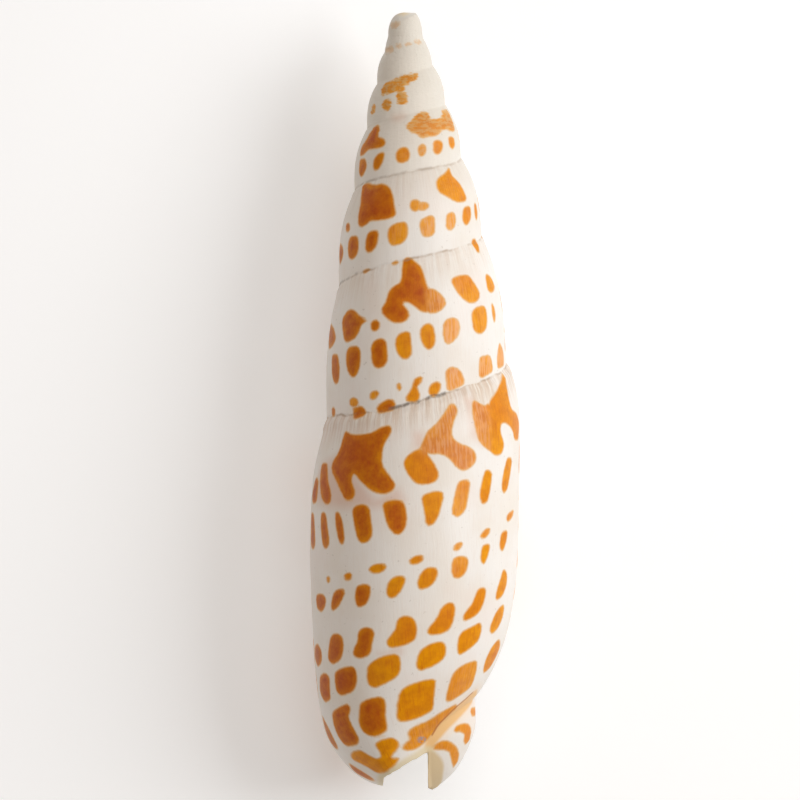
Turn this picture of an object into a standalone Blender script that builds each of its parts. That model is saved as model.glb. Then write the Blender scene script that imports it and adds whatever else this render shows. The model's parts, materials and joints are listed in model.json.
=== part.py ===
"""Mitre shell: a large episcopal mitre lying on its aperture, 120 mm long.

Metres, +Z up. The apex points to +Y, the rounded back of the shell faces +Z and the aperture
faces the surface it lies on. The origin is under the middle of the shell, on that surface.
"""

import math

import bmesh
import bpy
from mathutils import Vector

MM = 0.001

# Growth, in millimetres and turns
# Depth is measured down the shell's axis from the point that all its whorls would shrink to.
# Turn 0 is where the last suture meets the left edge of the shell seen from its back.
GROWTH = 1.43
SUTURE_AT_ZERO = 67.3
SPIRE_SLOPE = 0.30
SPIRE_CURVE = (0.00052, 0.0000118)
SHOULDER = 2.8

# The last suture hangs lower than the growth law across the shell's back
SAG = 3.5
SAG_STARTS, SAG_FULL = -1.0, -0.5
SAG_ENDS, SAG_GONE = -0.22, 0.03

# Ends of the shell
FIRST_TURN = -7.0
LIP_TURN = 0.15
WALL_TURN = LIP_TURN - 1
APEX_DEPTH = 4.8
WORN_FROM = 9.0
WORN_ROUND = 0.55
WORN_SLANT = 0.4
BASE_DEPTH = 125.1

# The last whorl's outline at nine places round it, as depth and radius from just under the
# suture to the tip of the columella: shoulder, belly, base, ridge over the fasciole, groove
# under it, fasciole and tip. The first one is the wall that the aperture opens against.
LAST_WHORL = {
    -0.85: [(53.3, 13.0), (59.0, 14.0), (71.0, 14.5), (79.2, 12.7), (86.2, 10.7), (92.6, 8.2),
            (98.5, 6.5), (103.8, 5.4), (110.8, 4.0), (119.2, 1.8), (125.1, 0.0)],
    -0.75: [(55.3, 13.1), (62.5, 13.6), (74.2, 13.8), (83.1, 12.9), (90.0, 11.2), (96.2, 9.0),
            (100.8, 7.4), (105.4, 6.4), (111.5, 5.2), (119.2, 2.9), (125.1, 0.0)],
    -0.62: [(59.0, 13.7), (66.0, 14.4), (78.0, 14.2), (86.5, 13.6), (94.1, 12.3), (100.4, 10.5),
            (105.5, 8.2), (106.9, 7.5), (111.8, 6.9), (119.4, 4.2), (125.1, 0.0)],
    -0.50: [(62.0, 14.6), (68.3, 15.4), (81.6, 14.8), (90.0, 14.3), (99.0, 12.8), (105.4, 10.4),
            (109.5, 7.8), (110.4, 7.1), (114.7, 7.0), (121.4, 4.1), (125.1, 0.0)],
    -0.37: [(64.9, 14.9), (70.3, 15.8), (85.4, 15.5), (94.1, 14.8), (102.1, 13.2), (108.0, 10.8),
            (111.4, 8.4), (112.3, 7.5), (116.0, 6.8), (121.6, 3.8), (125.1, 0.0)],
    -0.25: [(67.3, 15.0), (73.6, 16.2), (88.7, 16.6), (97.7, 16.0), (105.4, 14.3), (111.5, 11.5),
            (115.1, 8.9), (116.0, 7.9), (118.8, 6.5), (122.6, 3.4), (125.1, 0.0)],
    -0.12: [(69.2, 15.1), (76.0, 16.3), (92.5, 17.2), (101.9, 17.1), (109.1, 16.1), (115.0, 14.5),
            (118.5, 12.9), (120.4, 11.6), (122.2, 9.8), (124.0, 6.6), (125.1, 0.0)],
    0.00: [(69.8, 15.0), (77.5, 16.8), (91.0, 17.6), (103.0, 17.5), (112.3, 16.8), (116.0, 16.0),
           (118.7, 14.6), (120.3, 13.4), (122.0, 11.8), (123.9, 8.3), (125.1, 0.0)],
    0.15: [(73.2, 15.5), (81.0, 16.8), (94.5, 17.4), (105.0, 17.1), (112.3, 16.3), (116.0, 15.4),
           (118.7, 13.8), (120.3, 12.5), (122.0, 10.9), (123.9, 7.8), (125.1, 0.0)],
}

# Folds across the columella: depth at the aperture, height, and how wide each one is
FOLDS = [(92.0, 1.1), (97.2, 1.0), (101.6, 0.8), (105.4, 0.6), (108.8, 0.4)]
FOLD_WIDTH = 0.85
FOLDS_FADE_BY = -0.72

# The hollow of the last whorl
WALL = 2.0
LIP_WALL = 1.3
HOLLOW_BACK = -0.60
HOLLOW_TOP = 4.6
HOLLOW_BOTTOM = 119.0
CANAL_OPENS = -0.30
CANAL_OPEN_BY = -0.20
CANAL_BOTTOM = 130.0
RIM_DEPTH = 120.8
RIM_SLOPE = 1.25
AXIS_CLEARANCE = 0.35

# The notch at the end of the canal, seen from the back: across from the axis, and depth
NOTCH = [(-0.55, 119.0), (-7.4, 122.7), (-7.6, 124.2), (-7.6, 129.0), (-0.9, 129.0)]

# The spire bows a little to the right of the axis
BOW = 0.2
BOW_ENDS = 75.0

# How the shell lies: depth at its middle, and the axis's place over the surface
MIDDLE_DEPTH = 65.15
AXIS_HEIGHT = 13.5
AXIS_ACROSS = 1.1

# Grid of the surface
STEPS_PER_TURN = 40
WHORL_ROWS = [0, 0.5, 1, 1.5, 2.1, 3]
BASE_ROWS = [3, 3.5, 4, 4.5, 5, 5.5] + [6 + 0.2 * i for i in range(16)] + [9.5, 10, 10.5, 11]


def smooth_step(start, end, value):
    """0 before start, 1 after end and an even slope between."""
    t = min(max((value - start) / (end - start), 0.0), 1.0)
    return t * t * (3 - 2 * t)


def smooth_curve(xs, ys, x):
    """Height at x of a smooth curve through the points, which never overshoots them."""
    if x <= xs[0]:
        return ys[0]
    if x >= xs[-1]:
        return ys[-1]
    slopes = [(ys[i + 1] - ys[i]) / (xs[i + 1] - xs[i]) for i in range(len(xs) - 1)]

    def tangent(i):
        if i == 0 or i == len(xs) - 1:
            return slopes[0] if i == 0 else slopes[-1]
        before, after = slopes[i - 1], slopes[i]
        return 0.0 if before * after <= 0 else 2 * before * after / (before + after)

    i = max(k for k in range(len(xs) - 1) if xs[k] <= x)
    width = xs[i + 1] - xs[i]
    t = (x - xs[i]) / width
    return (ys[i] * (1 + 2 * t) * (1 - t) ** 2 + tangent(i) * width * t * (1 - t) ** 2
            + ys[i + 1] * t * t * (3 - 2 * t) - tangent(i + 1) * width * t * t * (1 - t))


def suture_depth(turn):
    """Depth of the suture at a turn of growth."""
    sag = smooth_step(SAG_STARTS, SAG_FULL, turn) * (1 - smooth_step(SAG_ENDS, SAG_GONE, turn))
    return SUTURE_AT_ZERO * GROWTH ** turn + SAG * sag


def spire_radius(depth):
    """Radius of the spire in its sutures."""
    return depth * (SPIRE_SLOPE - SPIRE_CURVE[0] * depth - SPIRE_CURVE[1] * depth ** 2)


def covered_whorl(turn, row):
    """Depth and radius on a whorl of the spire, between one suture and the next."""
    share = smooth_curve([0, 1, 2, 3], [0, 0.14, 0.42, 1], row)
    top, foot = suture_depth(turn), suture_depth(turn + 1)
    bulge = 1 - (1 - share) ** SHOULDER
    radius = spire_radius(top) + (spire_radius(foot) - spire_radius(top)) * bulge
    return top + (foot - top) * share, radius


def fold_height(turn, depth):
    """How far the columella's folds stand out, near the aperture."""
    scale = GROWTH ** (turn - WALL_TURN)
    strength = 1 - smooth_step(WALL_TURN, FOLDS_FADE_BY, turn)
    return strength * sum(height * math.exp(-((depth - place * scale) / FOLD_WIDTH) ** 2)
                          for place, height in FOLDS)


def last_whorl(turn, row):
    """Depth and radius on the last whorl, from the suture at row 0 to the tip at row 11."""
    turns = sorted(LAST_WHORL)
    top = suture_depth(turn)
    keys = [(top, spire_radius(top))]
    for number in range(11):
        depths = [LAST_WHORL[place][number][0] for place in turns]
        radii = [LAST_WHORL[place][number][1] for place in turns]
        keys.append((smooth_curve(turns, depths, turn), smooth_curve(turns, radii, turn)))
    rows = list(range(12))
    depth = smooth_curve(rows, [key[0] for key in keys], row)
    radius = smooth_curve(rows, [key[1] for key in keys], row)
    return depth, radius + fold_height(turn, depth) * (radius > 0)


def outside(turn, row):
    """Depth and radius anywhere on the outside of the shell."""
    if turn <= WALL_TURN and row <= 3:
        depth, radius = covered_whorl(turn, row)
    else:
        depth, radius = last_whorl(turn, row)
        if row <= 3:
            law_depth, law_radius = covered_whorl(turn, row)
            mix = smooth_step(WALL_TURN, WALL_TURN + 0.1, turn)
            depth = law_depth + (depth - law_depth) * mix
            radius = law_radius + (radius - law_radius) * mix
    if depth < WORN_FROM:
        worn = (WORN_FROM - depth) / (WORN_FROM - suture_depth(FIRST_TURN)) * math.pi / 2
        depth = WORN_FROM - (WORN_FROM - APEX_DEPTH) * math.sin(worn)
        radius = spire_radius(WORN_FROM) * max(math.cos(worn), 0.0) ** WORN_ROUND
    return depth, radius


def outside_radius(turn, depth):
    """Radius of the outside at a depth, found by halving the rows."""
    low, high = 0.0, 11.0
    for _ in range(30):
        middle = (low + high) / 2
        if outside(turn, middle)[0] < depth:
            low = middle
        else:
            high = middle
    return outside(turn, low)[1]


def place(turn, depth, radius):
    """Point of the shell, in metres, at a turn of growth, a depth and a radius."""
    angle = math.pi + 2 * math.pi * turn
    across = radius * math.cos(angle)
    bow = BOW * math.sin(math.pi * min(depth / BOW_ENDS, 1))
    slant = WORN_SLANT * smooth_step(WORN_FROM, APEX_DEPTH, depth)
    along = depth - slant * (across / spire_radius(WORN_FROM) - 1)
    return Vector((across + bow, MIDDLE_DEPTH - along, radius * math.sin(angle))) * MM


def add_patch(mesh, first, last, rows):
    """A grid of growth steps and rows, moved to its place on the shell's outside."""
    steps = round((last - first) * STEPS_PER_TURN)
    patch = bmesh.ops.create_grid(mesh, x_segments=steps, y_segments=len(rows) - 1, size=0.5)
    for vert in patch["verts"]:
        turn = first + (vert.co.x + 0.5) * (last - first)
        row = rows[round((vert.co.y + 0.5) * (len(rows) - 1))]
        vert.co = place(turn, *outside(turn, row))


def hollow_ring(turn):
    """Points round the hollow at a turn of growth: down its outer wall, up the columella."""
    inside = min(turn, LIP_TURN)
    scale = GROWTH ** (inside - LIP_TURN)
    past = turn - inside
    top = suture_depth(inside) + HOLLOW_TOP * scale
    opening = smooth_step(CANAL_OPENS, CANAL_OPEN_BY, turn)
    bottom = HOLLOW_BOTTOM * scale + (CANAL_BOTTOM - HOLLOW_BOTTOM * scale) * opening
    wall = LIP_WALL + (WALL - LIP_WALL) * smooth_step(LIP_TURN, LIP_TURN - 0.12, inside)

    def outer(depth):
        reach = outside_radius(inside, min(depth, RIM_DEPTH)) - RIM_SLOPE * max(depth - RIM_DEPTH, 0)
        return reach - wall + past * 80

    def inner(depth):
        if past:
            return outside_radius(turn - 1, depth) + past * 25
        grown = scale * outside_radius(WALL_TURN, min(depth / scale, BASE_DEPTH))
        return max(grown - 0.15, AXIS_CLEARANCE)

    shares = [0.05, 0.12, 0.22, 0.35, 0.5, 0.62, 0.72, 0.8, 0.86, 0.92, 0.96, 1]
    down = [top + (bottom - top) * share for share in shares]
    folded = [78, 81, 84, 87, 89.5] + [91.0 + 1.15 * i for i in range(18)] + [113.5, 116.5]
    up = [depth * scale for depth in folded]
    up += [up[-1] + (bottom - up[-1]) * share for share in (0.35, 0.7, 1)]
    points = [(top, (outer(top) + inner(top)) / 2)]
    points += [(depth, max(outer(depth), inner(depth) + 0.3)) for depth in down]
    points += [(depth, inner(depth)) for depth in reversed(up)]
    return [place(turn, depth, radius) for depth, radius in points]


def new_object(name, mesh_data, collection):
    """Object in a collection, made from a bmesh."""
    mesh = bpy.data.meshes.new(name)
    bmesh.ops.recalc_face_normals(mesh_data, faces=mesh_data.faces[:])
    mesh_data.to_mesh(mesh)
    mesh_data.free()
    thing = bpy.data.objects.new(name, mesh)
    collection.objects.link(thing)
    return thing


def shell_material():
    """Glossy white shell with a warm tint."""
    material = bpy.data.materials.new("shell")
    material.use_nodes = True
    surface = material.node_tree.nodes["Principled BSDF"]
    surface.inputs["Base Color"].default_value = (0.84, 0.72, 0.58, 1)
    surface.inputs["Roughness"].default_value = 0.35
    surface.inputs["Metallic"].default_value = 0.0
    return material


def make_outside(collection):
    """The shell's outside as one closed solid: spire, last whorl, base and the lip's step."""
    mesh = bmesh.new()
    add_patch(mesh, FIRST_TURN, LIP_TURN, WHORL_ROWS)
    add_patch(mesh, WALL_TURN, LIP_TURN, BASE_ROWS)
    bmesh.ops.remove_doubles(mesh, verts=mesh.verts[:], dist=0.002 * MM)
    bmesh.ops.holes_fill(mesh, edges=[edge for edge in mesh.edges if edge.is_boundary], sides=0)
    shell = new_object("shell", mesh, collection)
    shell.data.shade_smooth()
    shell.data.set_sharp_from_angle(angle=math.radians(40))
    shell.data.materials.append(shell_material())
    return shell


def make_hollow(collection):
    """Cutter for the hollow: a loft through rings that follow the last whorl out of its lip."""
    steps = round((LIP_TURN - HOLLOW_BACK) * STEPS_PER_TURN)
    turns = [HOLLOW_BACK + (LIP_TURN - HOLLOW_BACK) * i / steps for i in range(steps + 1)]
    turns += [LIP_TURN + 0.02, LIP_TURN + 0.05]
    mesh = bmesh.new()
    rings = [[mesh.verts.new(point) for point in hollow_ring(turn)] for turn in turns]
    for ring, following in zip(rings, rings[1:]):
        for i in range(len(ring)):
            j = (i + 1) % len(ring)
            mesh.faces.new((ring[i], ring[j], following[j], following[i]))
    mesh.faces.new(rings[0])
    mesh.faces.new(rings[-1])
    return new_object("hollow", mesh, collection)


def make_notch(collection):
    """Cutter for the notch: its outline, drawn down the shell's whole height."""
    mesh = bmesh.new()
    outline = [mesh.verts.new(Vector((across, MIDDLE_DEPTH - depth, -25)) * MM)
               for across, depth in NOTCH]
    face = mesh.faces.new(outline)
    raised = bmesh.ops.extrude_face_region(mesh, geom=[face])
    top = [item for item in raised["geom"] if isinstance(item, bmesh.types.BMVert)]
    bmesh.ops.translate(mesh, verts=top, vec=(0, 0, 50 * MM))
    return new_object("notch", mesh, collection)


def make_floor(collection):
    """Cutter for the flat that the shell rests on: a slab whose top is the surface."""
    mesh = bmesh.new()
    bmesh.ops.create_cube(mesh, size=1)
    bmesh.ops.scale(mesh, verts=mesh.verts[:], vec=Vector((60, 160, 10)) * MM)
    bmesh.ops.translate(mesh, verts=mesh.verts[:], vec=(0, 0, -5 * MM))
    return new_object("floor", mesh, collection)


def cut(thing, cutter):
    """Take a cutter away from an object with a Boolean, and keep the cutter out of sight."""
    modifier = thing.modifiers.new(f"cut {cutter.name}", "BOOLEAN")
    modifier.operation = "DIFFERENCE"
    modifier.solver = "EXACT"
    modifier.object = cutter
    cutter.hide_render = True
    cutter.display_type = "WIRE"


def main():
    """Build the shell and lay it down."""
    for thing in list(bpy.data.objects):
        bpy.data.objects.remove(thing, do_unlink=True)
    parts = bpy.data.collections.new("mitre shell")
    cutters = bpy.data.collections.new("cutters")
    for collection in (parts, cutters):
        bpy.context.scene.collection.children.link(collection)

    shell = make_outside(parts)
    shell.location = Vector((AXIS_ACROSS, 0, AXIS_HEIGHT)) * MM
    for cutter in (make_hollow(cutters), make_notch(cutters)):
        cutter.parent = shell
        cut(shell, cutter)
    cut(shell, make_floor(cutters))


main()
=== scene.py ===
# %% [markdown]
# # A mitre shell
#
# A sea snail built this shell by laying down a little more of it along its lip every day. Each
# turn is a larger copy of the one before, wound round one axis, so the whole form follows from
# a few laws of growth. We repeat those laws on a fine grid, cut the hollow and the notch, and
# paint the orange marks on the finished surface.

# %% Load the frame
import functools
import json
import math
import random

import bmesh
import bpy
import numpy as np
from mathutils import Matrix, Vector

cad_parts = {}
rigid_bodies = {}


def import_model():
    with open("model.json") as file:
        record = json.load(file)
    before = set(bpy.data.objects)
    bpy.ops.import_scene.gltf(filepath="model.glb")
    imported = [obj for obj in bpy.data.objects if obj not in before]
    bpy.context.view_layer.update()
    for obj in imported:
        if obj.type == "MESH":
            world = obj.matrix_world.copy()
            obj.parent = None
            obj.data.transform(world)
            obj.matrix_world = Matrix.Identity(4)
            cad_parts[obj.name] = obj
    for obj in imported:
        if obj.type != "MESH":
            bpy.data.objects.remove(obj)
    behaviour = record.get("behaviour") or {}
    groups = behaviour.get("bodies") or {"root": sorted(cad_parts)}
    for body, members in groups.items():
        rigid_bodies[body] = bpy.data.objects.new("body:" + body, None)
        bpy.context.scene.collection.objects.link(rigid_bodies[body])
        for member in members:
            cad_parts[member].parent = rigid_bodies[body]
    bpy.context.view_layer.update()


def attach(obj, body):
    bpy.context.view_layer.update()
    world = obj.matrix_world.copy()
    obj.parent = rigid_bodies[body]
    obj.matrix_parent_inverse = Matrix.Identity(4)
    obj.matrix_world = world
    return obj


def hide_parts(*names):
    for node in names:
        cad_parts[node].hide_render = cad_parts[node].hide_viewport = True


for thing in list(bpy.data.objects):
    bpy.data.objects.remove(thing, do_unlink=True)
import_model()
MM = 0.001

# %% [markdown]
# ## Laws of growth
#
# A shell could be sculpted by eye, but its whorls would never quite agree. Here a point of the
# surface is found from two numbers instead. The **turn** says how far round the snail had
# grown, and the **row** says how far down from the seam (the suture) the point lies. Depth is
# measured down the axis, in millimetres, from the point that all whorls would shrink to.

# %% How the seam winds down the shell
GROWTH = 1.43
SUTURE_AT_ZERO = 67.3
SAG = 3.5
UNEVEN = {   # how many mm the seam wanders down, at some turns
    -3.8: 0, -3.65: 0.3, -3.5: 0.4, -3.3: 0, -2.8: 0, -2.6: 0.4, -2.4: 0.3, -2.25: -0.3,
    -2.1: -0.6, -1.95: -0.4, -1.75: 0, -1.6: 0.6, -1.45: 0.6, -1.2: 0,
}
FIRST_TURN, LIP_TURN = -7.0, 0.15
WORN_FROM, APEX_DEPTH = 9.0, 4.8
UNWORN_FROM = 18.0
WALL_TURN = LIP_TURN - 1


def ease(start, end, value):
    """0 before start, 1 after end and an even slope between, for a number or an array."""
    t = np.clip((value - start) / (end - start), 0.0, 1.0)
    return t * t * (3 - 2 * t)


def suture_depth(turn):
    """Depth of the seam at a turn, with the small waves of a real one."""
    sag = ease(-1.0, -0.5, turn) * (1 - ease(-0.22, 0.03, turn))
    waves = 0.07 * np.sin(97 * turn) + 0.06 * np.sin(173 * turn + 1) + 0.04 * np.sin(311 * turn + 2)
    uneven = np.interp(turn, list(UNEVEN), list(UNEVEN.values()))
    return (SUTURE_AT_ZERO + waves) * GROWTH ** turn + SAG * sag + uneven


for turn in (-3, -2, -1, 0):
    print("suture at turn", turn, "is", round(float(suture_depth(turn)), 1), "mm down")


# %% [markdown]
# ## One whorl, then the last one
#
# Between one seam and the next a whorl swells quickly and then runs almost straight. Near the
# tip wear has made the whorls flatter. The last whorl also narrows to the base, so its outline
# is given at nine places round it. A smooth curve runs through those points. It never
# overshoots them, which a plain spline would do.

# %% A smooth curve through given points
def smooth_curve(xs, ys, x):
    """Height at x of a smooth curve through the points, which never overshoots them."""
    if x <= xs[0]:
        return ys[0]
    if x >= xs[-1]:
        return ys[-1]
    slopes = [(ys[i + 1] - ys[i]) / (xs[i + 1] - xs[i]) for i in range(len(xs) - 1)]

    def tangent(i):
        if i == 0 or i == len(xs) - 1:
            return slopes[0] if i == 0 else slopes[-1]
        before, after = slopes[i - 1], slopes[i]
        return 0.0 if before * after <= 0 else 2 * before * after / (before + after)

    i = max(k for k in range(len(xs) - 1) if xs[k] <= x)
    width = xs[i + 1] - xs[i]
    t = (x - xs[i]) / width
    return (ys[i] * (1 + 2 * t) * (1 - t) ** 2 + tangent(i) * width * t * (1 - t) ** 2
            + ys[i + 1] * t * t * (3 - 2 * t) - tangent(i + 1) * width * t * t * (1 - t))


# %% A whorl of the spire
def seam_radius(depth):
    """Radius of the shell in its seam: a cone that opens less and less."""
    return depth * (0.30 - 0.00052 * depth - 0.0000118 * depth ** 2)


@functools.lru_cache(maxsize=None)
def seam(turn):
    """Depth and radius of the shell in its seam."""
    depth = float(suture_depth(turn))
    return depth, seam_radius(depth)


def covered_whorl(turn, row):
    """Depth and radius on a whorl of the spire, from its seam at row 0 to the next at row 3."""
    share = smooth_curve([0, 1, 2, 3], [0, 0.14, 0.42, 1], row)
    top, foot = seam(turn), seam(turn + 1)
    rounding = 1 + 1.8 * float(ease(WORN_FROM, UNWORN_FROM, foot[0]))
    bulge = 1 - (1 - share) ** rounding
    return top[0] + (foot[0] - top[0]) * share, top[1] + (foot[1] - top[1]) * bulge


# %% The outline of the last whorl, as depth and radius at nine turns
LAST_WHORL = {
    -0.85: [(53.3, 13.0), (59.0, 14.0), (71.0, 14.5), (79.2, 12.7), (86.2, 10.7), (92.6, 8.2),
            (98.5, 6.5), (103.8, 5.4), (110.8, 4.0), (119.2, 1.8), (125.1, 0.0)],
    -0.75: [(55.3, 13.1), (62.5, 13.6), (74.2, 13.8), (83.1, 12.9), (90.0, 11.2), (96.2, 9.0),
            (100.8, 7.4), (105.4, 6.4), (111.5, 5.2), (119.2, 2.9), (125.1, 0.0)],
    -0.62: [(59.0, 13.7), (66.0, 14.4), (78.0, 14.2), (86.5, 13.6), (94.1, 12.3), (100.4, 10.5),
            (105.5, 8.2), (106.9, 7.5), (111.8, 6.9), (119.4, 4.2), (125.1, 0.0)],
    -0.50: [(62.0, 14.6), (68.3, 15.4), (81.6, 14.8), (90.0, 14.3), (99.0, 12.8), (105.4, 10.4),
            (109.5, 7.8), (110.4, 7.1), (114.7, 7.0), (121.4, 4.1), (125.1, 0.0)],
    -0.37: [(64.9, 14.9), (70.3, 15.8), (85.4, 15.5), (94.1, 14.8), (102.1, 13.2), (108.0, 10.8),
            (111.4, 8.4), (112.3, 7.5), (116.0, 6.8), (121.6, 3.8), (125.1, 0.0)],
    -0.25: [(67.3, 15.0), (73.6, 16.2), (88.7, 16.6), (97.7, 16.0), (105.4, 14.3), (111.5, 11.5),
            (115.1, 8.9), (116.0, 7.9), (118.8, 6.5), (122.6, 3.4), (125.1, 0.0)],
    -0.12: [(69.2, 15.1), (76.0, 16.3), (92.5, 17.2), (101.9, 17.1), (109.1, 16.1), (115.0, 14.5),
            (118.5, 12.9), (120.4, 11.6), (122.2, 9.8), (124.0, 6.6), (125.1, 0.0)],
    0.00: [(69.8, 15.0), (77.5, 16.8), (91.0, 17.6), (103.0, 17.5), (112.3, 16.8), (116.0, 16.0),
           (118.7, 14.6), (120.3, 13.4), (122.0, 11.8), (123.9, 8.3), (125.1, 0.0)],
    0.15: [(73.2, 15.5), (81.0, 16.8), (94.5, 17.4), (105.0, 17.1), (112.3, 16.3), (116.0, 15.4),
           (118.7, 13.8), (120.3, 12.5), (122.0, 10.9), (123.9, 7.8), (125.1, 0.0)],
}
FOLDS = [(92.0, 1.1), (97.2, 1.0), (101.6, 0.8), (105.4, 0.6), (108.8, 0.4)]
FOLD_WIDTH, FOLDS_END = 0.85, -0.72


@functools.lru_cache(maxsize=None)
def outline(turn):
    """The last whorl's outline at a turn: twelve depths and twelve radii."""
    turns = sorted(LAST_WHORL)
    keys = [seam(turn)]
    for number in range(11):
        depths = [LAST_WHORL[at][number][0] for at in turns]
        radii = [LAST_WHORL[at][number][1] for at in turns]
        keys.append((smooth_curve(turns, depths, turn), smooth_curve(turns, radii, turn)))
    return [key[0] for key in keys], [key[1] for key in keys]


def last_whorl(turn, row):
    """Depth and radius on the last whorl, with the folds across its columella."""
    depths, radii = outline(turn)
    depth = smooth_curve(range(12), depths, row)
    radius = smooth_curve(range(12), radii, row)
    if turn < FOLDS_END and radius > 0:
        scale = GROWTH ** (turn - WALL_TURN)
        strength = 1 - float(ease(WALL_TURN, FOLDS_END, turn))
        radius += strength * sum(height * math.exp(-((depth - at * scale) / FOLD_WIDTH) ** 2)
                                 for at, height in FOLDS)
    return depth, radius


# %% [markdown]
# ## From the laws to a point
#
# The tip of this old shell is worn to a blunt, slanting stump, so the depth is turned into a
# dome near the apex. Just under each seam the whorl has a narrow raised edge, as each new layer
# was pressed against the one above it.

# %% Any point of the outside
EDGE_HEIGHT, EDGE_WIDTH, EDGE_FULL_FROM = 0.16, 2.4, 25.0
JOIN_TURNS = 0.1
WORN_RADIUS = seam_radius(WORN_FROM)
DOME_POWER, TIP_SLANT = 0.55, 0.4
BOW, BOW_ENDS = 0.2, 75.0
MIDDLE_DEPTH = 65.15
AXIS_ACROSS, AXIS_HEIGHT = 1.1, 13.5


def outside(turn, row):
    """Depth and radius anywhere on the outside of the shell."""
    if turn <= WALL_TURN and row <= 3:
        depth, radius = covered_whorl(turn, row)
    else:
        depth, radius = last_whorl(turn, row)
        if row <= 3 and turn < WALL_TURN + JOIN_TURNS:
            law = covered_whorl(turn, row)
            mix = float(ease(WALL_TURN, WALL_TURN + JOIN_TURNS, turn))
            depth, radius = law[0] + (depth - law[0]) * mix, law[1] + (radius - law[1]) * mix
    below = (depth - seam(turn)[0]) / (EDGE_WIDTH * GROWTH ** turn)
    if 0 < below < 1:
        strength = EDGE_HEIGHT * GROWTH ** turn * float(ease(WORN_FROM, EDGE_FULL_FROM, depth))
        radius += strength * math.sin(math.pi * below) ** 2
    if depth < WORN_FROM:
        worn = (WORN_FROM - depth) / (WORN_FROM - seam(FIRST_TURN)[0]) * math.pi / 2
        depth = WORN_FROM - (WORN_FROM - APEX_DEPTH) * math.sin(worn)
        radius = WORN_RADIUS * max(math.cos(worn), 0.0) ** DOME_POWER
    return depth, radius


def bow(depth):
    """How far the spire leans to the right of a straight axis."""
    return BOW * np.sin(np.pi * np.minimum(depth / BOW_ENDS, 1))


def place(turn, depth, radius):
    """Point of the shell, in metres, where the shell lies."""
    angle = math.pi + 2 * math.pi * turn
    across = radius * math.cos(angle)
    slant = TIP_SLANT * float(ease(WORN_FROM, APEX_DEPTH, depth))
    along = depth - slant * (across / WORN_RADIUS - 1)
    return Vector((across + float(bow(depth)) + AXIS_ACROSS, MIDDLE_DEPTH - along,
                   radius * math.sin(angle) + AXIS_HEIGHT)) * MM


# %% [markdown]
# ## The outside
#
# `create_grid` gives a flat sheet of points. Each point is moved to its place by the laws, so
# one sheet is wound into whorls: a coarse one for the small tip, a fine one for the rest, and a
# third for the base. The edges that meet are merged, and what stays open (the tip and the step
# at the lip) is filled.

# %% Wind the sheets into a closed shell
def spread(first, counts):
    """Rows from a first one on, with as many between each whole row and the next as counted."""
    return [first + k + i / count for k, count in enumerate(counts) for i in range(count)] \
        + [first + len(counts)]


STEPS_PER_TURN = 240
WHORL_ROWS = spread(0, [8, 12, 24])
BASE_ROWS = spread(3, [21, 17, 9, 8, 5, 6, 6, 6])
TIP_TURN = -4.0


def add_sheet(mesh, first, last, rows, join=1):
    """A grid of growth steps and rows, moved to its place on the shell.

    Where it joins a sheet with fewer rows, its first points are gathered in groups."""
    steps = round((last - first) * STEPS_PER_TURN)
    sheet = bmesh.ops.create_grid(mesh, x_segments=steps, y_segments=len(rows) - 1, size=0.5)
    for vert in sheet["verts"]:
        turn = round(first + (vert.co.x + 0.5) * (last - first), 6)
        number = round((vert.co.y + 0.5) * (len(rows) - 1))
        if turn == first:
            number -= number % join
        vert.co = place(turn, *outside(turn, rows[number]))


def new_piece(name, mesh):
    """Object from a bmesh, with its faces turned outwards."""
    bmesh.ops.recalc_face_normals(mesh, faces=mesh.faces[:])
    data = bpy.data.meshes.new(name)
    mesh.to_mesh(data)
    mesh.free()
    thing = bpy.data.objects.new(name, data)
    bpy.context.scene.collection.objects.link(thing)
    return thing


mesh = bmesh.new()
add_sheet(mesh, FIRST_TURN, TIP_TURN, WHORL_ROWS[::2])
add_sheet(mesh, TIP_TURN, LIP_TURN, WHORL_ROWS, 2)
add_sheet(mesh, WALL_TURN, LIP_TURN, BASE_ROWS)
bmesh.ops.remove_doubles(mesh, verts=mesh.verts[:], dist=0.002 * MM)
bmesh.ops.holes_fill(mesh, edges=[edge for edge in mesh.edges if edge.is_boundary], sides=0)
print("outside:", len(mesh.faces), "faces,", sum(e.is_boundary for e in mesh.edges), "open edges")
shell = new_piece("mitre_shell", mesh)

# %% [markdown]
# ## The hollow and the notch
#
# The snail lived in the hollow of the last whorl, and its breathing tube lay in the notch at
# the base. The hollow follows the same laws with the wall's thickness taken off: a grid is
# moved onto rings that run back into the shell from the lip. Both are cut with a Boolean,
# because their meeting with the outside is too intricate to model by hand.

# %% A ring round the hollow
HOLLOW_BACK = -0.60
AXIS_CLEARANCE = 0.35
BELOW_SEAM = 4.6
CLOSED_FOOT, OPEN_FOOT = 119.0, 130.0
BASE_DEPTH, AXIS_END = 120.8, 125.1
LIP_WALL, WALL_GAIN = 1.3, 0.7
COLUMELLA_FROM, COLUMELLA_LENGTH = 78, 38.5


@functools.lru_cache(maxsize=None)
def outside_radius(turn, depth):
    """Radius of the outside at a depth, found by halving the rows."""
    low, high = 0.0, 11.0
    for _ in range(22):
        middle = (low + high) / 2
        if outside(turn, middle)[0] < depth:
            low = middle
        else:
            high = middle
    return outside(turn, low)[1]


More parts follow.
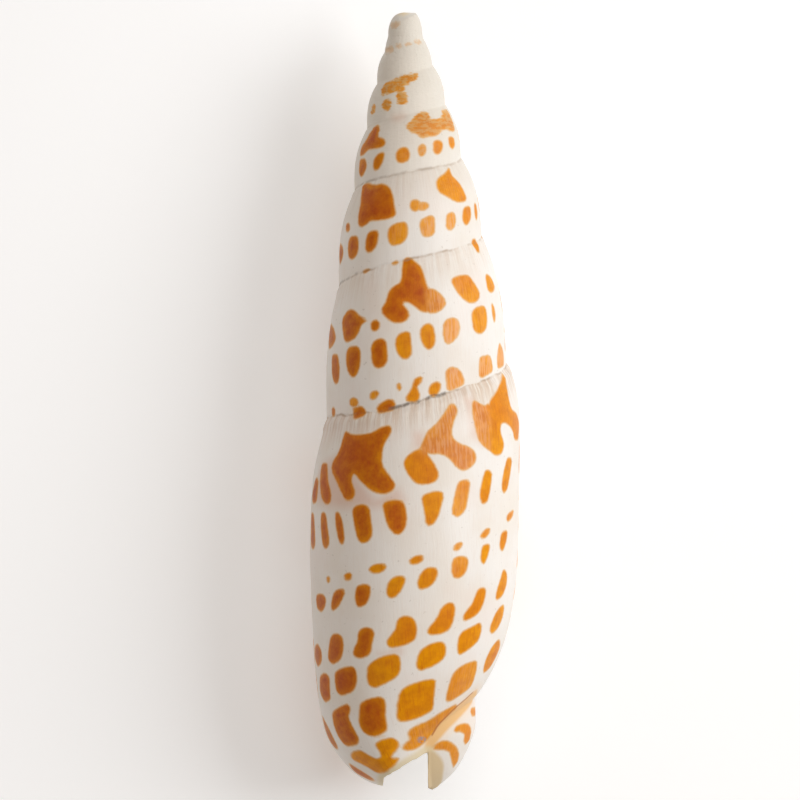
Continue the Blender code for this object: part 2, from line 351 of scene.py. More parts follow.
def hollow_ring(turn):
    """Points round the hollow at a turn: down its outer wall, then up the columella."""
    inside = min(turn, LIP_TURN)
    scale = GROWTH ** (inside - LIP_TURN)
    past = turn - inside
    top = seam(inside)[0] + BELOW_SEAM * scale
    opening = float(ease(-0.30, -0.20, turn))
    bottom = CLOSED_FOOT * scale + (OPEN_FOOT - CLOSED_FOOT * scale) * opening
    wall = LIP_WALL + WALL_GAIN * float(ease(LIP_TURN, LIP_TURN - 0.12, inside))

    def outer(depth):
        reach = outside_radius(inside, min(depth, BASE_DEPTH)) - 1.25 * max(depth - BASE_DEPTH, 0)
        return reach - wall + past * 80

    def inner(depth):
        if past:
            return outside_radius(round(turn - 1, 6), depth) + past * 25
        grown = scale * outside_radius(WALL_TURN, min(depth / scale, AXIS_END))
        return max(grown - 0.15, AXIS_CLEARANCE)

    down = [top + (bottom - top) * math.sin(math.pi / 2 * i / 36) ** 1.5 for i in range(1, 37)]
    up = [(COLUMELLA_FROM + COLUMELLA_LENGTH * i / 60) * scale for i in range(61)]
    up += [up[-1] + (bottom - up[-1]) * share for share in (0.2, 0.4, 0.6, 0.8, 1)]
    points = [(top, (outer(top) + inner(top)) / 2)]
    points += [(depth, max(outer(depth), inner(depth) + 0.3)) for depth in down]
    points += [(depth, inner(depth)) for depth in reversed(up)]
    return [place(turn, depth, radius) for depth, radius in points]


# %% Loft the hollow from a grid whose columns are the rings
steps = round((LIP_TURN - HOLLOW_BACK) * (120))
ring_turns = [HOLLOW_BACK + (LIP_TURN - HOLLOW_BACK) * i / steps for i in range(steps + 1)]
ring_turns = [round(turn, 6) for turn in ring_turns] + [LIP_TURN + 0.02, LIP_TURN + 0.05]
rings = [hollow_ring(turn) for turn in ring_turns]
around = len(rings[0])
mesh = bmesh.new()
loft = bmesh.ops.create_grid(mesh, x_segments=len(rings) - 1, y_segments=around, size=0.5)
for vert in loft["verts"]:
    ring = rings[round((vert.co.x + 0.5) * (len(rings) - 1))]
    vert.co = ring[round((vert.co.y + 0.5) * around) % around]
bmesh.ops.remove_doubles(mesh, verts=mesh.verts[:], dist=0.0005 * MM)
bmesh.ops.holes_fill(mesh, edges=[edge for edge in mesh.edges if edge.is_boundary], sides=0)
print("hollow:", len(mesh.faces), "faces,",
      sum(not e.is_manifold for e in mesh.edges), "open edges")
hollow = new_piece("hollow", mesh)

# %% The notch, drawn as a flat outline and pulled through the shell
NOTCH = [(-0.55, 119.0), (-7.4, 122.7), (-7.6, 124.2), (-7.6, 129.0), (-0.9, 129.0)]
CUT_REACH = 25
mesh = bmesh.new()
corners = [mesh.verts.new(MM * Vector((across + AXIS_ACROSS, MIDDLE_DEPTH - depth,
                                       AXIS_HEIGHT - CUT_REACH)))
           for across, depth in NOTCH]
raised = bmesh.ops.extrude_face_region(mesh, geom=[mesh.faces.new(corners)])
top = [item for item in raised["geom"] if isinstance(item, bmesh.types.BMVert)]
bmesh.ops.translate(mesh, verts=top, vec=(0, 0, 2 * CUT_REACH * MM))
notch = new_piece("notch", mesh)


# %% Cut both
def cut(thing, cutter):
    """Take a cutter away from a piece, keep the result and delete the cutter."""
    modifier = thing.modifiers.new("cut", "BOOLEAN")
    modifier.operation = "DIFFERENCE"
    modifier.solver = "MANIFOLD"
    modifier.object = cutter
    result = thing.evaluated_get(bpy.context.evaluated_depsgraph_get())
    old = thing.data
    thing.data = bpy.data.meshes.new_from_object(result)
    thing.modifiers.clear()
    bpy.data.meshes.remove(old)
    bpy.data.objects.remove(cutter, do_unlink=True)


cut(shell, hollow)
cut(shell, notch)
print("after the cuts:", len(shell.data.polygons), "faces")

# %% [markdown]
# ## Rounded rims and the flat it rests on
#
# No edge of a real shell is knife sharp. `smooth_vert` pulls the points along the cut rims
# towards their neighbours, which rounds them off. A point whose neighbours are far away would go
# too far and leave the rim ragged, so no point moves more than a quarter of a millimetre. The
# shell rests on two small worn flats, so a plane takes off what would stand below the surface.
# Points that only two edges meet in are taken out, as two triangles would share them back to
# back.

# %% Soften the rims, then level the underside
MOST_MOVE = 0.25
SHARP = 0.75          # radians between two faces
RIM_DOWN, RIM_LOW = -0.008, 0.010    # metres: towards the base, or near the surface
mesh = bmesh.new()
mesh.from_mesh(shell.data)
bmesh.ops.remove_doubles(mesh, verts=mesh.verts[:], dist=0.001 * MM)
sharp = [edge for edge in mesh.edges if edge.is_manifold and abs(edge.calc_face_angle()) > SHARP]
rim = {vert for edge in sharp for vert in edge.verts
       if vert.co.y < RIM_DOWN or vert.co.z < RIM_LOW}
wider = rim | {edge.other_vert(vert) for vert in rim for edge in vert.link_edges}
start = {vert: vert.co.copy() for vert in wider}
for verts in (wider, rim, rim):
    bmesh.ops.smooth_vert(mesh, verts=list(verts), factor=0.5,
                          use_axis_x=True, use_axis_y=True, use_axis_z=True)
for vert, place_before in start.items():
    moved = vert.co - place_before
    if moved.length > MOST_MOVE * MM:
        vert.co = place_before + moved.normalized() * MOST_MOVE * MM
print("rim points softened:", len(rim))
bmesh.ops.bisect_plane(mesh, geom=mesh.verts[:] + mesh.edges[:] + mesh.faces[:], dist=1e-7,
                       plane_co=(0, 0, 0), plane_no=(0, 0, -1), clear_outer=True)
bmesh.ops.holes_fill(mesh, edges=[edge for edge in mesh.edges if edge.is_boundary], sides=0)
loose = [vert for vert in mesh.verts if len(vert.link_edges) == 2]
bmesh.ops.dissolve_verts(mesh, verts=loose)
bmesh.ops.triangulate(mesh, faces=mesh.faces[:])
print("triangles:", len(mesh.faces), "open edges:", sum(not e.is_manifold for e in mesh.edges))
mesh.to_mesh(shell.data)
mesh.free()
shell.data.shade_smooth()

# %% [markdown]
# ## Where a point lies on the shell
#
# The marks follow the growth, not the shape of the mesh, so every point needs to know its angle
# round the axis, its depth and how far it lies under the outside. The angle and the depth are
# plain to see from its place. For the last, a table gives the outside's radius over angle and
# depth, and answers for every point at once.

# %% A table of the outside: radius by angle (180 steps) and depth (every 0.25 mm)
TABLE_STEPS, TABLE_GAP = 180, 0.25
table_depths = np.arange(0, 125.3, TABLE_GAP)
radius_table = np.zeros((TABLE_STEPS, len(table_depths)))
for step in range(round((LIP_TURN - FIRST_TURN) * TABLE_STEPS) + 1):
    turn = round(FIRST_TURN + step / TABLE_STEPS, 6)
    rows = WHORL_ROWS if turn < WALL_TURN else WHORL_ROWS + BASE_ROWS[1:]
    points = np.array([outside(turn, row) for row in rows])
    below = table_depths >= points[0, 0]
    column = round(TABLE_STEPS * (turn + 0.5)) % TABLE_STEPS
    radius_table[column, below] = np.interp(table_depths[below], points[:, 0], points[:, 1])


def surface_radius(angle, depth):
    """Radius of the outside at angles in degrees and depths in mm."""
    a = (np.asarray(angle, float) / 360 * TABLE_STEPS) % TABLE_STEPS
    d = np.clip(np.asarray(depth, float) / TABLE_GAP, 0, len(table_depths) - 1.001)
    a0, d0 = np.floor(a).astype(int), np.floor(d).astype(int)
    a1, fa, fd = (a0 + 1) % TABLE_STEPS, a - a0, d - d0
    a0 = a0 % TABLE_STEPS
    near = radius_table[a0, d0] * (1 - fd) + radius_table[a0, d0 + 1] * fd
    far = radius_table[a1, d0] * (1 - fd) + radius_table[a1, d0 + 1] * fd
    return near * (1 - fa) + far * fa


print("radius of the back at 90 mm:", round(float(surface_radius(90, 90)), 2), "mm")

# %% Angle, depth and turn of every point
points = np.empty(len(shell.data.vertices) * 3)
shell.data.vertices.foreach_get("co", points)
points = points.reshape(-1, 3) / MM
depth = MIDDLE_DEPTH - points[:, 1]
across = points[:, 0] - AXIS_ACROSS - bow(depth)
height = points[:, 2] - AXIS_HEIGHT
angle = np.degrees(np.arctan2(height, across)) % 360
radius = np.hypot(across, height)
outer = surface_radius(angle, depth)
under = outer - radius

first = (angle / 360 - 0.5) % 1 + (FIRST_TURN - 1)
turn = np.full(len(depth), FIRST_TURN)
for whole in range(9):
    candidate = first + whole
    shown = (candidate <= LIP_TURN) & (suture_depth(candidate) <= depth + 0.02)
    turn = np.where(shown, np.maximum(turn, candidate), turn)
below_suture = depth - suture_depth(turn)
above_next = np.where(turn + 1 <= LIP_TURN, suture_depth(turn + 1) - depth, 99.0)
print("points:", len(depth), "of them inside:", int((under > 1).sum()))

# %% [markdown]
# ## Marks that can be seen
#
# The marks of the upper side are drawn, each as a few corners in the picture, and are then
# carried back onto the curved surface. A mark near the side of the shell looks narrow in the
# picture only because it turns away. Each has a kind: plain orange, dark, soft, hatched by
# fine scratches, pale from wear, rubbed or faint.

# %% From the picture to the surface
PIXEL = 120 / 780
AXIS_PIXEL = (404, 13)
AXIS_LEAN = 0.037
TOP_PIXELS = 34.6


def from_picture(x, y):
    """Angle in degrees and depth in mm of a pixel on the upper side of the shell."""
    right, down = x - AXIS_PIXEL[0], y - AXIS_PIXEL[1]
    length = math.hypot(1, AXIS_LEAN)
    depth = ((right * AXIS_LEAN + down) / length + TOP_PIXELS) * PIXEL
    across = (right - down * AXIS_LEAN) / length * PIXEL - float(bow(depth))
    angle = 90.0
    for _ in range(12):
        reach = max(float(surface_radius(angle, depth)), 0.5)
        angle = math.degrees(math.acos(max(min(across / reach, 0.995), -0.995)))
    return angle, depth


print("the pixel (404, 400) is at", [round(v, 1) for v in from_picture(404, 400)])

# %% The marks of the last whorl, row by row: kind, then corners in the picture
LAST_WHORL_MARKS = [
    # blotches under the seam
    ("dark", [(346, 430), (350, 434), (358, 435), (371, 433), (378, 429), (384, 426), (390, 425),
        (392, 430), (388, 438), (384, 444), (382, 454), (382, 465), (387, 472), (393, 480),
        (396, 485), (392, 491), (384, 494), (374, 492), (367, 487), (359, 479), (354, 472),
        (351, 480), (356, 492), (353, 499), (346, 501), (342, 493), (336, 480), (331, 469),
        (333, 461), (338, 454), (341, 446), (343, 438)]),
    ("dark", [(322, 463), (328, 463), (328, 478), (332, 496), (330, 504), (325, 504), (321, 496),
        (320, 480)]),
    ("dark", [(316, 477), (319, 479), (317, 502), (313, 504), (312, 496), (314, 486)]),
    ("plain", [(404, 460), (408, 455), (415, 450), (424, 448), (429, 457), (434, 463), (439, 474),
        (436, 481), (427, 484), (417, 484), (410, 477), (404, 467)]),
    ("hatched", [(446, 410), (450, 403), (456, 405), (457, 413), (453, 421), (451, 431),
        (452, 438), (458, 443), (467, 446), (475, 451), (476, 460), (471, 467), (463, 471),
        (456, 467), (451, 460), (445, 455), (438, 453), (431, 454), (425, 452), (419, 449),
        (424, 439), (427, 431), (434, 426), (440, 419)]),
    ("plain", [(502, 372), (506, 385), (508, 397), (511, 410), (516, 413), (519, 424), (518, 440),
        (514, 440), (513, 432), (510, 426), (504, 422), (500, 424), (500, 432), (504, 444),
        (502, 453), (496, 456), (489, 451), (489, 430), (486, 412), (490, 400), (496, 392),
        (500, 383)]),
    ("hatched", [(472, 400), (478, 402), (484, 407), (489, 402), (491, 420), (491, 440),
        (491, 452), (484, 447), (478, 440), (475, 428), (472, 414)]),
    # bars
    ("plain", [(507, 457), (512, 458), (510, 473), (507, 489), (503, 494), (501, 487),
        (503, 473)]),
    ("plain", [(485, 469), (492, 471), (490, 488), (487, 502), (481, 504), (479, 494),
        (482, 480)]),
    ("soft", [(459, 480), (470, 479), (468, 495), (465, 510), (458, 517), (451, 514), (453, 502),
        (456, 488)]),
    ("plain", [(421, 495), (430, 492), (438, 490), (444, 493), (441, 505), (438, 516), (433, 524),
        (426, 526), (425, 515), (423, 505)]),
    ("dark", [(382, 503), (389, 500), (397, 499), (404, 501), (406, 510), (407, 521), (404, 530),
        (398, 535), (391, 531), (386, 521), (384, 511)]),
    ("dark", [(352, 508), (359, 504), (366, 504), (370, 508), (371, 520), (373, 533), (369, 541),
        (361, 543), (357, 537), (354, 522)]),
    ("dark", [(335, 511), (340, 512), (343, 523), (345, 538), (343, 545), (339, 541), (336, 526)]),
    ("dark", [(321, 512), (326, 512), (328, 528), (330, 543), (327, 549), (323, 546), (321, 530)]),
    ("dark", [(311, 513), (314, 513), (315, 530), (315.5, 546), (313, 550), (311, 545)]),
    # dashes
    ("soft", [(508, 513), (514, 509), (512, 517), (507, 522), (506, 517)]),
    ("soft", [(480, 535), (484, 529), (490, 527), (489, 533), (484, 538), (480, 538)]),
    ("soft", [(452, 547), (457, 542), (463, 541), (461, 547), (455, 551)]),
    ("plain", [(409, 559), (415, 555), (424, 554), (423, 560), (415, 564), (409, 563)]),
    ("plain", [(369, 567), (375, 563), (387, 563), (385, 570), (376, 573), (369, 571)]),
    ("plain", [(344, 574), (350, 571), (353, 575), (350, 580), (344, 579)]),
    ("plain", [(326.5, 576), (330.5, 576), (330, 582), (327, 582)]),
    # dots
    ("plain", [(502, 531), (507.5, 530), (506, 541), (502, 552), (499, 547), (500, 537)]),
    ("plain", [(483, 544), (490, 543), (488, 554), (483, 565), (480, 559), (481, 549)]),
    ("soft", [(454, 557), (461, 555), (468, 557), (467, 568), (462, 576), (454, 578), (451, 571),
        (452, 561)]),
    ("plain", [(420, 573), (426, 567), (435, 566), (438, 571), (435, 581), (427, 587), (419, 589),
        (417, 582)]),
    ("plain", [(388, 581), (395, 575), (406, 575), (404, 584), (399, 593), (392, 598),
        (386, 594)]),
    ("dark", [(356, 586), (363, 583), (371, 584), (370, 596), (366, 604), (358, 607), (355, 600)]),
    ("dark", [(334, 591), (340, 588), (346, 589), (343, 598), (338, 607), (332, 611), (331, 604)]),
    ("dark", [(316, 595), (321, 593), (326, 596), (326, 605), (322, 612), (317, 608)]),
    # lower rows
    ("plain", [(503, 568), (507, 573), (506, 586), (501, 597), (495, 600), (496, 591),
        (500, 579)]),
    ("plain", [(476, 592), (479, 587), (486, 587), (484, 600), (480, 610), (472, 617), (462, 621),
        (464, 612), (472, 603)]),
    ("plain", [(440, 608), (448, 601), (455, 603), (454, 616), (450, 628), (441, 633), (428, 634),
        (427, 628), (434, 621), (439, 613)]),
    ("plain", [(397, 618), (405, 614), (414, 617), (417, 626), (416, 637), (410, 642), (400, 645),
        (389, 647), (386, 640), (392, 633), (396, 628)]),
    ("dark", [(358, 631), (364, 626), (372, 627), (375, 633), (372, 642), (371, 653), (361, 658),
        (353, 655), (354, 647), (358, 641)]),
    ("dark", [(331, 635), (337, 632), (343, 636), (344, 648), (341, 659), (333, 664), (328, 659),
        (329, 646)]),
    ("dark", [(315, 646), (318, 643), (322, 651), (322, 662), (318, 667), (315, 658)]),
    ("plain", [(499, 607), (504, 603), (503, 615), (498, 627), (491, 634), (489, 628),
        (494, 615)]),
    ("plain", [(461, 631), (471, 626), (481, 621), (481, 631), (478, 640), (469, 648), (458, 655),
        (457, 646), (458, 637)]),
    ("plain", [(419, 650), (429, 643), (441, 640), (446, 644), (445, 656), (438, 662), (428, 667),
        (418, 670), (416, 663)]),
    ("plain", [(368, 664), (378, 657), (390, 653), (399, 653), (401, 663), (399, 674), (388, 681),
        (375, 687), (368, 684), (367, 673)]),
    ("dark", [(335, 671), (345, 666), (354, 665), (357, 672), (357, 683), (353, 691), (342, 695),
        (337, 692), (335, 682)]),
    ("dark", [(320, 676), (325, 672), (330, 676), (330, 690), (331, 699), (325, 702), (320, 692)]),
    ("plain", [(499, 638), (500, 646), (496, 656), (490, 667), (483, 673), (483, 667), (487, 655),
        (493, 644)]),
    ("soft", [(453, 672), (462, 664), (477, 659), (476, 670), (471, 686), (463, 692), (451, 700),
        (445, 701), (447, 691), (450, 680)]),
    ("plain", [(400, 690), (408, 684), (421, 680), (436, 677), (434, 693), (433, 709), (424, 714),
        (412, 719), (397, 721), (397, 705)]),
    ("dark", [(360, 702), (370, 697), (384, 695), (386, 704), (385, 714), (388, 727), (384, 732),
        (374, 736), (365, 733), (359, 724)]),
    ("dark", [(332, 712), (340, 706), (349, 702), (351, 709), (348, 716), (353, 726), (360, 739),
        (357, 744), (347, 746), (340, 739), (334, 725)]),
    ("dark", [(322, 714), (327, 724), (333, 736), (339, 748), (336, 749), (330, 741), (325, 729)]),
    # base
    ("soft", [(456, 703), (457, 707), (449, 714), (441, 722), (436, 728), (430, 736), (424, 742),
        (418, 747), (408, 750), (402, 748), (405, 742), (411, 738), (407, 731), (415, 725),
        (430, 719), (438, 713), (447, 708)]),
    ("plain", [(374, 743), (383, 738), (394, 736), (400, 743), (396, 750), (391, 755), (392, 758),
        (400, 756), (396, 763), (387, 771), (378, 773), (369, 767), (359, 762), (351, 758),
        (352, 751), (361, 749), (368, 754), (376, 758), (381, 757), (381, 752)]),
    ("dark", [(348, 762), (356, 767), (366, 773), (375, 779), (372, 781), (364, 777), (355, 772)]),
    # the band round the canal
    ("soft", [(470, 708), (477, 707), (477, 715), (471, 716)]),
    ("soft", [(454, 727), (461, 723), (468, 723), (471, 729), (470, 739), (465, 745), (463, 740),
        (465, 734), (461, 731), (454, 732)]),
    ("soft", [(431, 748), (440, 740), (448, 740), (456, 746), (459, 754), (457, 763), (453, 768),
        (451, 760), (450, 752), (445, 749), (437, 749)]),
]
print(len(LAST_WHORL_MARKS), "marks on the last whorl")

# %% The marks of the whorl above it
SECOND_WHORL_MARKS = [
    ("dark", [(403, 260), (409, 257), (416, 263), (421, 267), (424, 276), (428, 290), (430, 300),
        (430, 312), (422, 313), (415, 307), (408, 302), (401, 303), (406, 308), (410, 315),
        (406, 322), (395, 324), (387, 319), (380, 311), (386, 303), (388, 293), (393, 287),
        (401, 283), (402, 272)]),
    ("hatched", [(426, 289), (433, 289), (441, 295), (447, 303), (441, 311), (433, 314),
        (427, 313)]),
    ("dark", [(342, 320), (348, 310), (355, 310), (359, 316), (369, 320), (361, 325), (359, 333),
        (354, 340), (345, 343), (343, 332)]),
    ("dark", [(370, 324), (376, 319), (381, 324), (378, 331), (372, 332)]),
    ("dark", [(330, 323), (334, 328), (336.5, 338), (333, 346), (329, 350), (328, 337)]),
    ("soft", [(450, 280), (458, 276), (468, 275), (475, 285), (480, 294), (478, 301), (470, 304),
        (462, 299), (456, 291)]),
    ("plain", [(485, 274), (490, 276), (495, 287), (492, 293), (488, 292), (486, 283)]),
    ("plain", [(471, 240), (476, 239), (480, 253), (476, 252)]),
    # bars
    ("dark", [(332, 355), (338, 354), (340, 368), (339, 382), (335, 385), (332, 375)]),
    ("dark", [(347, 349), (353, 346), (360, 347), (361, 358), (359, 371), (354, 379), (348, 373),
        (346, 360)]),
    ("dark", [(371, 345), (377, 339), (386, 339), (387, 350), (388, 360), (384, 367), (376, 369),
        (372, 363)]),
    ("plain", [(395, 340), (400, 333), (410, 331), (411, 342), (412, 354), (407, 360), (400, 358),
        (396, 350)]),
    ("plain", [(420, 330), (425, 324), (432, 324), (435, 334), (435, 345), (429, 351), (423, 346),
        (420, 337)]),
    ("pale", [(443, 323), (449, 318), (458, 319), (460, 330), (456, 339), (447, 346), (443, 338)]),
    ("soft", [(471, 312), (477, 307), (485, 306), (487, 318), (486, 329), (480, 335), (473, 331)]),
    ("soft", [(491, 302), (494, 307), (495.5, 317), (494, 324), (492, 315)]),
    # the next row, partly under the last whorl
    ("pale", [(499, 342), (503, 351), (504, 365), (497, 369), (497, 355)]),
    ("pale", [(479, 357), (490, 355), (493, 371), (479, 379)]),
    ("pale", [(445, 371), (452, 366), (461, 371), (465, 384), (447, 392), (446, 381)]),
    ("plain", [(428, 389), (433, 382), (441, 382), (440, 391), (434, 398), (429, 395)]),
    ("plain", [(415, 378), (423, 376), (421, 383), (416, 387), (420, 394), (418, 402), (407, 402),
        (405, 398), (411, 390), (413, 383)]),
    ("soft", [(396, 386), (399, 382), (402, 387), (399, 392)]),
    ("soft", [(370, 393), (376, 390), (380, 393), (376, 399), (370, 400)]),
    ("dark", [(380, 404), (387, 399), (395, 400), (395, 410), (378, 414), (376, 408)]),
    ("soft", [(349, 401), (353, 397), (359, 400), (357, 407), (351, 407)]),
    ("dark", [(354, 409), (361, 405), (367, 411), (364, 416), (354, 420), (353, 414)]),
    ("dark", [(331.5, 408), (335, 407), (335.5, 416), (332, 417)]),
    # specks in the seam
    ("dark", [(362, 272), (368, 269), (371, 270), (365, 274)]),
    ("dark", [(391, 264), (397, 261), (399, 263), (394, 266)]),
]
print(len(SECOND_WHORL_MARKS), "marks on the whorl above")

# %% The marks of the early whorls, where many are worn pale
EARLY_MARKS = [
    ("dark", [(363, 185), (369, 183), (374, 186), (383, 184), (390, 188), (393, 196), (395, 210),
        (396, 216), (390, 219), (380, 221), (370, 221), (366, 226), (359, 228), (358, 219),
        (361, 203)]),
    ("soft", [(449, 167), (451, 176), (458, 182), (463, 190), (467, 200), (462, 203), (454, 202),
        (447, 197), (440, 194), (436, 187), (437, 179), (445, 174)]),
    ("soft", [(409, 205), (413, 200), (420, 201), (420, 210), (413, 213)]),
    ("pale", [(418, 203), (428, 203), (429, 208), (424, 211), (418, 211)]),
    ("dark", [(340, 243), (343, 246), (343.5, 256), (340, 266), (339, 255)]),
    ("dark", [(350, 237), (358, 236), (359, 247), (357, 256), (351, 261), (348, 255), (348, 245)]),
    ("dark", [(367, 235), (371, 231), (379, 231), (378, 241), (375, 250), (368, 254), (365, 249)]),
    ("soft", [(388, 229), (395, 224), (406, 222), (408, 230), (407, 238), (402, 244), (392, 247),
        (388, 241)]),
    ("pale", [(420, 221), (427, 217), (434, 216), (435, 226), (434, 236), (423, 238), (420, 230)]),
    ("pale", [(447, 214), (454, 212), (456, 223), (452, 231), (446, 230), (446, 221)]),
    ("soft", [(463, 208), (470, 206), (471, 218), (466, 227), (462, 221)]),
    ("soft", [(474, 203), (476, 204), (477.5, 215), (476, 222), (474, 212)]),
    ("dark", [(346, 224), (350, 223), (350, 232), (346, 232)]),
    ("dark", [(375, 126), (380, 126), (379, 133), (378, 138), (384, 139), (386, 144), (382, 148),
        (375, 149), (368, 150), (364, 155), (360, 157), (361, 148), (366, 141), (369, 135)]),
    ("rubbed", [(405, 127), (412, 121), (415, 116), (421, 113), (428, 112), (429, 119), (438, 120),
        (442, 117), (442, 110), (447, 110), (451, 118), (455, 131), (451, 132), (446, 129),
        (441, 131), (437, 136), (428, 137), (421, 139), (417, 134), (411, 133)]),
    ("dark", [(360, 159), (366, 159), (367, 168), (362, 178), (359, 174)]),
    ("dark", [(374, 159), (380, 153), (385, 153), (383, 162), (379, 170), (373, 171)]),
    ("soft", [(396, 154), (400, 148), (408, 148), (410, 156), (408, 162), (399, 164), (396, 160)]),
    ("pale", [(418, 148), (422, 144), (426, 147), (426, 153), (421, 158), (418, 153)]),
    ("soft", [(433, 141), (442, 141), (443, 149), (439, 155), (433, 154)]),
    ("soft", [(448, 137), (453, 137), (455, 144), (453, 150), (449, 147)]),
    ("rubbed", [(381, 96), (382, 88), (388, 82), (395, 81), (400, 77), (409, 75), (417, 73),
        (418, 79), (410, 83), (404, 86), (404, 92), (396, 91), (388, 95)]),
    ("rubbed", [(382, 104), (386, 100), (391, 101), (392, 107), (387, 111), (382, 109)]),
    ("rubbed", [(397, 92), (404, 92), (408, 98), (406, 104), (400, 106), (397, 100)]),
    ("rubbed", [(371, 110), (374, 105), (376, 107), (374, 114), (371, 116)]),
    ("faint", [(414, 41), (421, 40), (422, 44), (415, 45)]),
    ("faint", [(405, 43), (411, 42), (411, 46), (405, 47)]),
    ("faint", [(395, 45), (401, 44), (401, 48), (396, 49)]),
    ("faint", [(385, 48), (393, 46), (394, 52), (386, 54)]),
    ("faint", [(392, 22), (400, 21), (399, 28), (392, 29)]),
]
print(len(EARLY_MARKS), "marks on the early whorls")

# %% [markdown]
# ## Distance to the nearest mark
#
# A colour per point would give ragged edges, as the points are about half a millimetre apart.
# Instead each point stores its **distance to the nearest edge of a mark**, less than zero
# inside it. The shader draws the edge where that distance crosses zero, and it stays smooth.


# %% Distance to an outline, and an outline with its corners rounded
def rounded(corners, reach=0.4):
    """Outline with its corners cut off three times, at first by at most a reach in mm."""
    for _ in range(3):
        cut_corners = []
        for (ax, ay), (bx, by) in zip(corners, corners[1:] + corners[:1]):
            share = min(0.25, reach / (math.hypot(bx - ax, by - ay) + 1e-9))
            cut_corners += [(ax + (bx - ax) * share, ay + (by - ay) * share),
                            (bx + (ax - bx) * share, by + (ay - by) * share)]
        corners, reach = cut_corners, reach / 2
    return corners


def polygon_distance(x, y, corners):
    """Distance in mm to a closed outline, less than zero inside."""
    nearest = np.full(len(x), 1e9)
    inside = np.zeros(len(x), bool)
    for (ax, ay), (bx, by) in zip(corners, corners[1:] + corners[:1]):
        ex, ey = bx - ax, by - ay
        t = np.clip(((x - ax) * ex + (y - ay) * ey) / (ex * ex + ey * ey), 0, 1)
        nearest = np.minimum(nearest, np.hypot(x - ax - t * ex, y - ay - t * ey))
        crosses = (ay > y) != (by > y)
        inside ^= crosses & (x < ax + (y - ay) / (by - ay + 1e-12) * ex)
    return np.where(inside, -nearest, nearest)


# %% Add one mark to the fields that the shader reads
KINDS = {   # how brown and how worn each kind is
    "plain": (0.2, 0.0), "dark": (0.75, 0.0), "soft": (0.1, 0.15),
    "hatched": (0.4, 0.45), "pale": (0.0, 0.6), "rubbed": (0.3, 0.7), "faint": (0.3, 1.0),
}
BLEND = 0.5
SKIN = 0.9    # how far under the outside a point still takes marks, in mm
mark = np.full(len(depth), 3.0)
brown = np.zeros(len(depth))
worn = np.zeros(len(depth))
weights = np.full(len(depth), 1e-6)


def around_shell(centre):
    """Place of every point on a flat map round a centre: mm to the right and mm down."""
    turned = (angle - centre[0] + 180) % 360 - 180
    right = -turned * math.pi / 180 * float(surface_radius(*centre))
    return right, depth - centre[1]


def add_mark(centre, corners, kind):
    """Lower the distance near one mark, and mix in its kind, the more the nearer it is."""
    corners = rounded(corners)
    size = max(math.hypot(*corner) for corner in corners) + 2.5
    x, y = around_shell(centre)
    near = np.flatnonzero((np.abs(x) < size) & (np.abs(y) < size) & (under < SKIN))
    distance = polygon_distance(x[near], y[near], corners)
    mark[near] = np.minimum(mark[near], distance)
    weight = np.exp(-distance / BLEND)
    weights[near] += weight
    brown[near] += KINDS[kind][0] * weight
    worn[near] += KINDS[kind][1] * weight


def drawn(corners):
    """Centre of an outline drawn in the picture, and its corners on a flat map round it."""
    places = [from_picture(*corner) for corner in corners]
    centre = (sum(p[0] for p in places) / len(places), sum(p[1] for p in places) / len(places))
    reach = float(surface_radius(*centre))
    return centre, [(-math.radians(a - centre[0]) * reach, d - centre[1]) for a, d in places]


for kind, corners in LAST_WHORL_MARKS + SECOND_WHORL_MARKS + EARLY_MARKS:
    add_mark(*drawn(corners), kind)
print("points inside marks on the upper side:", int((mark < 0).sum()))

# %% [markdown]
# ## Marks on the side it lies on
#
# The hidden side isn't known, but its marks follow a rule: twenty to a turn, in rows that keep
# their distance to the seam, and each row grows with the shell. A seeded random number makes
# each a little different. The glazed wall beside the opening has none.

# %% Rows by rule, for the under side
ROWS = [(17.2, 1.3, 2.7), (24.3, 1.1, 0.6), (28.2, 1.4, 1.65), (35.4, 1.8, 1.8), (41.0, 1.9, 1.8),
        (47.2, 2.2, 2.3)]
BAR = [(-0.4, -1.15), (0.8, -1.15), (1.25, -0.5), (0.9, 1.1), (-0.7, 1.15), (-1.2, 0.6)]
MARKS_PER_TURN, EARLIEST_MARK = 20, -5.4
chance = random.Random(7)
count = 0
for step in range(-140, 4):
    turn_here = 0.010 + step / MARKS_PER_TURN
    angle_here = (turn_here * 360 + 180) % 360
    if 176 < angle_here or angle_here < 10:
        size_here = GROWTH ** turn_here
        for offset, half_x, half_y in ROWS:
            jitter = [chance.uniform(-1, 1) for _ in range(5)]
            depth_here = float(suture_depth(turn_here)) + (offset + 0.3 * jitter[0]) * size_here
            next_seam = float(suture_depth(turn_here + 1)) if turn_here <= WALL_TURN else 120.0
            glazed = turn_here > WALL_TURN - 0.01 and 228 < angle_here < 292
            if depth_here > next_seam - 0.5 or glazed or turn_here < EARLIEST_MARK:
                continue
            reach = float(surface_radius(angle_here, depth_here))
            half_x = min(half_x * size_here, 0.105 * reach) * (1 + 0.15 * jitter[1])
            half_y = half_y * size_here * (1 + 0.12 * jitter[2])
            corners = [(x * half_x, y * half_y - 0.2 * x * half_x) for x, y in BAR]
            kind = "dark" if jitter[4] > 0.3 else "plain" if jitter[4] > -0.6 else "soft"
            add_mark((angle_here + 1.5 * jitter[3], depth_here), corners, kind)
            count += 1
print(count, "small marks on the under side")

